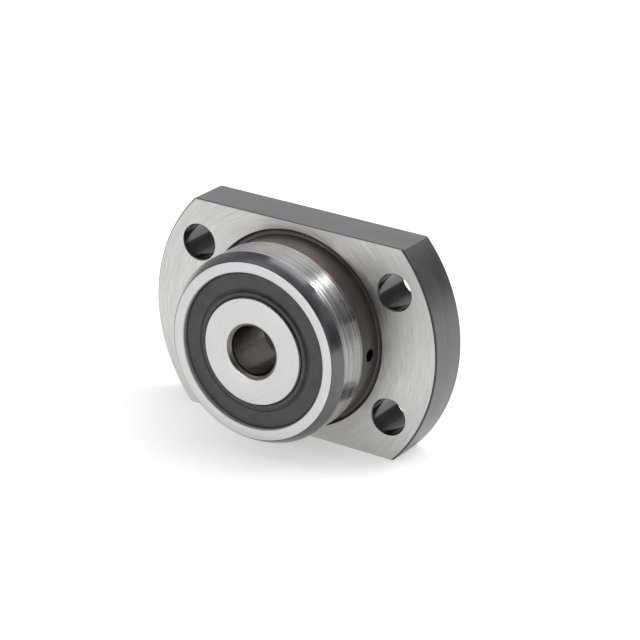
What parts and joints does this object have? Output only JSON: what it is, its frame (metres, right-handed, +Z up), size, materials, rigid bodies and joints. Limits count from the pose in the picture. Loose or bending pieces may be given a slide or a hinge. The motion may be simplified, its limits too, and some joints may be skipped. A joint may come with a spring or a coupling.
{
  "type": "angular contact thrust bearing",
  "caption": "Flanged double-row angular contact thrust ball bearing with a ground spigot, split inner ring, rubber seals and a flange flattened on two sides.",
  "frame": {"origin": "on the bearing axis, in the plane of the flange's ground mounting face", "axes": "+Z up, +Y along the bearing axis from the nose to the back, +X along the flange's long way; the part stands on the lower of the flange's two flats"},
  "size_m": [0.04, 0.015, 0.027],
  "materials": {
    "ground_ring_steel": "ground bearing steel, with un-ground stretches left dark",
    "inner_ring_steel": "fine ground bearing steel",
    "seal_rubber": "matt moulded rubber",
    "cage_polyamide": "natural moulded polyamide",
    "ball_steel": "lapped bearing balls"
  },
  "bodies": {
    "outer": {"outer_ring": "ground_ring_steel", "seal_front": "seal_rubber", "seal_rear": "seal_rubber"},
    "inner_front": {"inner_ring_front": "inner_ring_steel"},
    "cage_front": {"cage_front": "cage_polyamide"},
    "ball_front_01": {"ball_front_01": "ball_steel"},
    "ball_front_02": {"ball_front_02": "ball_steel"},
    "ball_front_03": {"ball_front_03": "ball_steel"},
    "ball_front_04": {"ball_front_04": "ball_steel"},
    "ball_front_05": {"ball_front_05": "ball_steel"},
    "ball_front_06": {"ball_front_06": "ball_steel"},
    "ball_front_07": {"ball_front_07": "ball_steel"},
    "ball_front_08": {"ball_front_08": "ball_steel"},
    "ball_front_09": {"ball_front_09": "ball_steel"},
    "ball_front_10": {"ball_front_10": "ball_steel"},
    "ball_front_11": {"ball_front_11": "ball_steel"},
    "ball_front_12": {"ball_front_12": "ball_steel"},
    "inner_rear": {"inner_ring_rear": "inner_ring_steel"},
    "cage_rear": {"cage_rear": "cage_polyamide"},
    "ball_rear_01": {"ball_rear_01": "ball_steel"},
    "ball_rear_02": {"ball_rear_02": "ball_steel"},
    "ball_rear_03": {"ball_rear_03": "ball_steel"},
    "ball_rear_04": {"ball_rear_04": "ball_steel"},
    "ball_rear_05": {"ball_rear_05": "ball_steel"},
    "ball_rear_06": {"ball_rear_06": "ball_steel"},
    "ball_rear_07": {"ball_rear_07": "ball_steel"},
    "ball_rear_08": {"ball_rear_08": "ball_steel"},
    "ball_rear_09": {"ball_rear_09": "ball_steel"},
    "ball_rear_10": {"ball_rear_10": "ball_steel"},
    "ball_rear_11": {"ball_rear_11": "ball_steel"},
    "ball_rear_12": {"ball_rear_12": "ball_steel"}
  },
  "joints": [
    {"name": "inner_front_turn", "type": "hinge", "parent": "outer", "child": "inner_front", "pos_m": [0, -0.0046, 0], "axis": [0, 1, 0], "continuous": true},
    {"name": "cage_front_turn", "type": "hinge", "parent": "outer", "child": "cage_front", "pos_m": [0, -0.0046, 0], "axis": [0, 1, 0], "continuous": true},
    {"name": "ball_front_01_spin", "type": "hinge", "parent": "cage_front", "child": "ball_front_01", "pos_m": [0.007, -0.0046, 0], "axis": [0.866, -0.5, 0], "continuous": true},
    {"name": "ball_front_02_spin", "type": "hinge", "parent": "cage_front", "child": "ball_front_02", "pos_m": [0.00606, -0.0046, 0.0035], "axis": [0.75, -0.5, 0.433], "continuous": true},
    {"name": "ball_front_03_spin", "type": "hinge", "parent": "cage_front", "child": "ball_front_03", "pos_m": [0.0035, -0.0046, 0.00606], "axis": [0.433, -0.5, 0.75], "continuous": true},
    {"name": "ball_front_04_spin", "type": "hinge", "parent": "cage_front", "child": "ball_front_04", "pos_m": [0, -0.0046, 0.007], "axis": [0, -0.5, 0.866], "continuous": true},
    {"name": "ball_front_05_spin", "type": "hinge", "parent": "cage_front", "child": "ball_front_05", "pos_m": [-0.0035, -0.0046, 0.00606], "axis": [-0.433, -0.5, 0.75], "continuous": true},
    {"name": "ball_front_06_spin", "type": "hinge", "parent": "cage_front", "child": "ball_front_06", "pos_m": [-0.00606, -0.0046, 0.0035], "axis": [-0.75, -0.5, 0.433], "continuous": true},
    {"name": "ball_front_07_spin", "type": "hinge", "parent": "cage_front", "child": "ball_front_07", "pos_m": [-0.007, -0.0046, 0], "axis": [-0.866, -0.5, 0], "continuous": true},
    {"name": "ball_front_08_spin", "type": "hinge", "parent": "cage_front", "child": "ball_front_08", "pos_m": [-0.00606, -0.0046, -0.0035], "axis": [-0.75, -0.5, -0.433], "continuous": true},
    {"name": "ball_front_09_spin", "type": "hinge", "parent": "cage_front", "child": "ball_front_09", "pos_m": [-0.0035, -0.0046, -0.00606], "axis": [-0.433, -0.5, -0.75], "continuous": true},
    {"name": "ball_front_10_spin", "type": "hinge", "parent": "cage_front", "child": "ball_front_10", "pos_m": [0, -0.0046, -0.007], "axis": [0, -0.5, -0.866], "continuous": true},
    {"name": "ball_front_11_spin", "type": "hinge", "parent": "cage_front", "child": "ball_front_11", "pos_m": [0.0035, -0.0046, -0.00606], "axis": [0.433, -0.5, -0.75], "continuous": true},
    {"name": "ball_front_12_spin", "type": "hinge", "parent": "cage_front", "child": "ball_front_12", "pos_m": [0.00606, -0.0046, -0.0035], "axis": [0.75, -0.5, -0.433], "continuous": true},
    {"name": "inner_rear_turn", "type": "hinge", "parent": "outer", "child": "inner_rear", "pos_m": [0, 0.0016, 0], "axis": [0, 1, 0], "continuous": true},
    {"name": "cage_rear_turn", "type": "hinge", "parent": "outer", "child": "cage_rear", "pos_m": [0, 0.0016, 0], "axis": [0, 1, 0], "continuous": true},
    {"name": "ball_rear_01_spin", "type": "hinge", "parent": "cage_rear", "child": "ball_rear_01", "pos_m": [0.007, 0.0016, 0], "axis": [0.866, 0.5, 0], "continuous": true},
    {"name": "ball_rear_02_spin", "type": "hinge", "parent": "cage_rear", "child": "ball_rear_02", "pos_m": [0.00606, 0.0016, -0.0035], "axis": [0.75, 0.5, -0.433], "continuous": true},
    {"name": "ball_rear_03_spin", "type": "hinge", "parent": "cage_rear", "child": "ball_rear_03", "pos_m": [0.0035, 0.0016, -0.00606], "axis": [0.433, 0.5, -0.75], "continuous": true},
    {"name": "ball_rear_04_spin", "type": "hinge", "parent": "cage_rear", "child": "ball_rear_04", "pos_m": [0, 0.0016, -0.007], "axis": [0, 0.5, -0.866], "continuous": true},
    {"name": "ball_rear_05_spin", "type": "hinge", "parent": "cage_rear", "child": "ball_rear_05", "pos_m": [-0.0035, 0.0016, -0.00606], "axis": [-0.433, 0.5, -0.75], "continuous": true},
    {"name": "ball_rear_06_spin", "type": "hinge", "parent": "cage_rear", "child": "ball_rear_06", "pos_m": [-0.00606, 0.0016, -0.0035], "axis": [-0.75, 0.5, -0.433], "continuous": true},
    {"name": "ball_rear_07_spin", "type": "hinge", "parent": "cage_rear", "child": "ball_rear_07", "pos_m": [-0.007, 0.0016, 0], "axis": [-0.866, 0.5, 0], "continuous": true},
    {"name": "ball_rear_08_spin", "type": "hinge", "parent": "cage_rear", "child": "ball_rear_08", "pos_m": [-0.00606, 0.0016, 0.0035], "axis": [-0.75, 0.5, 0.433], "continuous": true},
    {"name": "ball_rear_09_spin", "type": "hinge", "parent": "cage_rear", "child": "ball_rear_09", "pos_m": [-0.0035, 0.0016, 0.00606], "axis": [-0.433, 0.5, 0.75], "continuous": true},
    {"name": "ball_rear_10_spin", "type": "hinge", "parent": "cage_rear", "child": "ball_rear_10", "pos_m": [0, 0.0016, 0.007], "axis": [0, 0.5, 0.866], "continuous": true},
    {"name": "ball_rear_11_spin", "type": "hinge", "parent": "cage_rear", "child": "ball_rear_11", "pos_m": [0.0035, 0.0016, 0.00606], "axis": [0.433, 0.5, 0.75], "continuous": true},
    {"name": "ball_rear_12_spin", "type": "hinge", "parent": "cage_rear", "child": "ball_rear_12", "pos_m": [0.00606, 0.0016, 0.0035], "axis": [0.75, 0.5, 0.433], "continuous": true}
  ],
  "couplings": [
    {"joint": "cage_front_turn", "follows": "inner_front_turn", "ratio": 0.4433},
    {"joint": "ball_front_01_spin", "follows": "inner_front_turn", "ratio": 2.1764},
    {"joint": "ball_front_02_spin", "follows": "inner_front_turn", "ratio": 2.1764},
    {"joint": "ball_front_03_spin", "follows": "inner_front_turn", "ratio": 2.1764},
    {"joint": "ball_front_04_spin", "follows": "inner_front_turn", "ratio": 2.1764},
    {"joint": "ball_front_05_spin", "follows": "inner_front_turn", "ratio": 2.1764},
    {"joint": "ball_front_06_spin", "follows": "inner_front_turn", "ratio": 2.1764},
    {"joint": "ball_front_07_spin", "follows": "inner_front_turn", "ratio": 2.1764},
    {"joint": "ball_front_08_spin", "follows": "inner_front_turn", "ratio": 2.1764},
    {"joint": "ball_front_09_spin", "follows": "inner_front_turn", "ratio": 2.1764},
    {"joint": "ball_front_10_spin", "follows": "inner_front_turn", "ratio": 2.1764},
    {"joint": "ball_front_11_spin", "follows": "inner_front_turn", "ratio": 2.1764},
    {"joint": "ball_front_12_spin", "follows": "inner_front_turn", "ratio": 2.1764},
    {"joint": "cage_rear_turn", "follows": "inner_rear_turn", "ratio": 0.4433},
    {"joint": "ball_rear_01_spin", "follows": "inner_rear_turn", "ratio": -2.1764},
    {"joint": "ball_rear_02_spin", "follows": "inner_rear_turn", "ratio": -2.1764},
    {"joint": "ball_rear_03_spin", "follows": "inner_rear_turn", "ratio": -2.1764},
    {"joint": "ball_rear_04_spin", "follows": "inner_rear_turn", "ratio": -2.1764},
    {"joint": "ball_rear_05_spin", "follows": "inner_rear_turn", "ratio": -2.1764},
    {"joint": "ball_rear_06_spin", "follows": "inner_rear_turn", "ratio": -2.1764},
    {"joint": "ball_rear_07_spin", "follows": "inner_rear_turn", "ratio": -2.1764},
    {"joint": "ball_rear_08_spin", "follows": "inner_rear_turn", "ratio": -2.1764},
    {"joint": "ball_rear_09_spin", "follows": "inner_rear_turn", "ratio": -2.1764},
    {"joint": "ball_rear_10_spin", "follows": "inner_rear_turn", "ratio": -2.1764},
    {"joint": "ball_rear_11_spin", "follows": "inner_rear_turn", "ratio": -2.1764},
    {"joint": "ball_rear_12_spin", "follows": "inner_rear_turn", "ratio": -2.1764}
  ]
}
